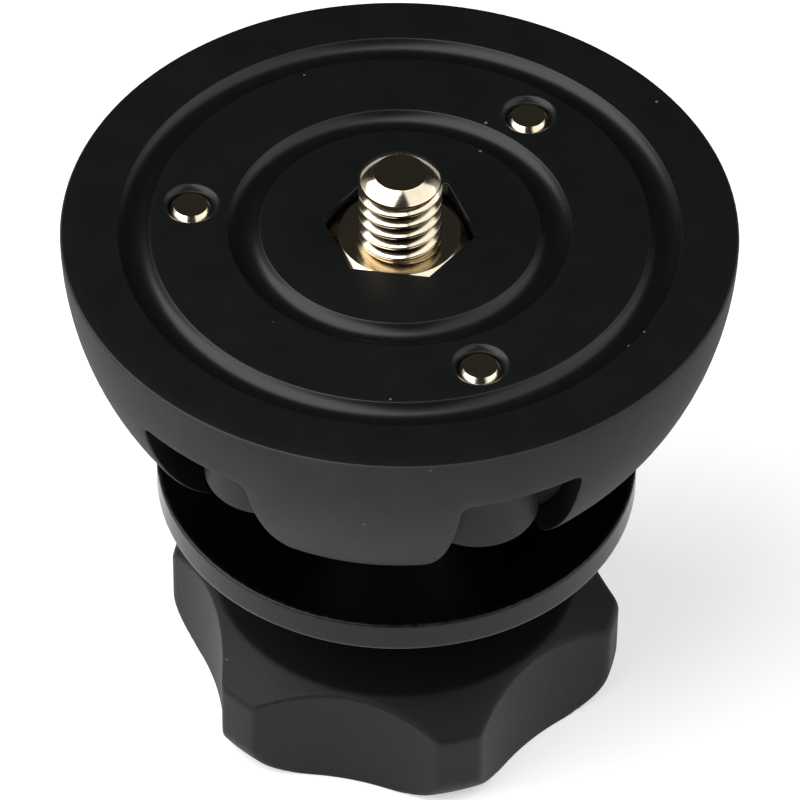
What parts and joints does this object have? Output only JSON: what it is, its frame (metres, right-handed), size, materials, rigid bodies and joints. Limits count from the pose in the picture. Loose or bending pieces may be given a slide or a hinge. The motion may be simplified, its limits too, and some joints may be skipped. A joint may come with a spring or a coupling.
{
  "type": "half ball leveling adapter",
  "caption": "Hemisphere that sits in a tripod bowl, with a camera stud and locking set screws on its flat face, and a lobed knob below that draws a clamp disc up.",
  "frame": {"origin": "centre of the ball, which is the centre of the flat top face", "axes": "+Z out of the flat face along the camera stud; -Z towards the knob; a plain window faces +X"},
  "size_m": [0.075, 0.075, 0.0761],
  "materials": {
    "cast_black": "satin black coating on cast aluminium",
    "disc_black": "semi-gloss black coating",
    "knob_black": "fine-textured black plastic",
    "nickel": "bright nickel plate",
    "zinc": "zinc plate",
    "brass": "turned brass",
    "nylon": "natural nylon"
  },
  "bodies": {
    "adapter": {"half_ball": "cast_black", "centre_stud": "nickel", "stud_washer": "zinc", "stud_nut": "zinc", "stop_washer": "zinc", "stop_screw": "zinc"},
    "slip": {"thrust_washer": "nylon"},
    "disc": {"clamp_disc": "disc_black", "disc_bush": "nylon"},
    "knob": {"knob_body": "knob_black", "knob_insert": "brass", "retaining_ring": "zinc", "knob_cap": "knob_black"},
    "locking_screw_1": {"locking_screw_1": "nickel"},
    "locking_screw_2": {"locking_screw_2": "nickel"},
    "locking_screw_3": {"locking_screw_3": "nickel"}
  },
  "joints": [
    {"name": "knob_travel", "type": "slide", "parent": "adapter", "child": "slip", "axis": [0, 0, 1], "range_m": [-0.0044, 0.008]},
    {"name": "knob_turn", "type": "hinge", "parent": "slip", "child": "knob", "pos_m": [0, 0, -0.06], "axis": [0, 0, 1], "range_deg": [-1055, 1919]},
    {"name": "disc_spin", "type": "hinge", "parent": "slip", "child": "disc", "pos_m": [0, 0, -0.0373], "axis": [0, 0, 1], "continuous": true},
    {"name": "locking_screw_1_travel", "type": "slide", "parent": "adapter", "child": "locking_screw_1", "axis": [0, 0, 1], "range_m": [-0.002, 0.0015]},
    {"name": "locking_screw_2_travel", "type": "slide", "parent": "adapter", "child": "locking_screw_2", "axis": [0, 0, 1], "range_m": [-0.002, 0.0015]},
    {"name": "locking_screw_3_travel", "type": "slide", "parent": "adapter", "child": "locking_screw_3", "axis": [0, 0, 1], "range_m": [-0.002, 0.0015]}
  ],
  "couplings": [
    {"joint": "knob_travel", "follows": "knob_turn", "m_per_rad": 0.00023873}
  ]
}
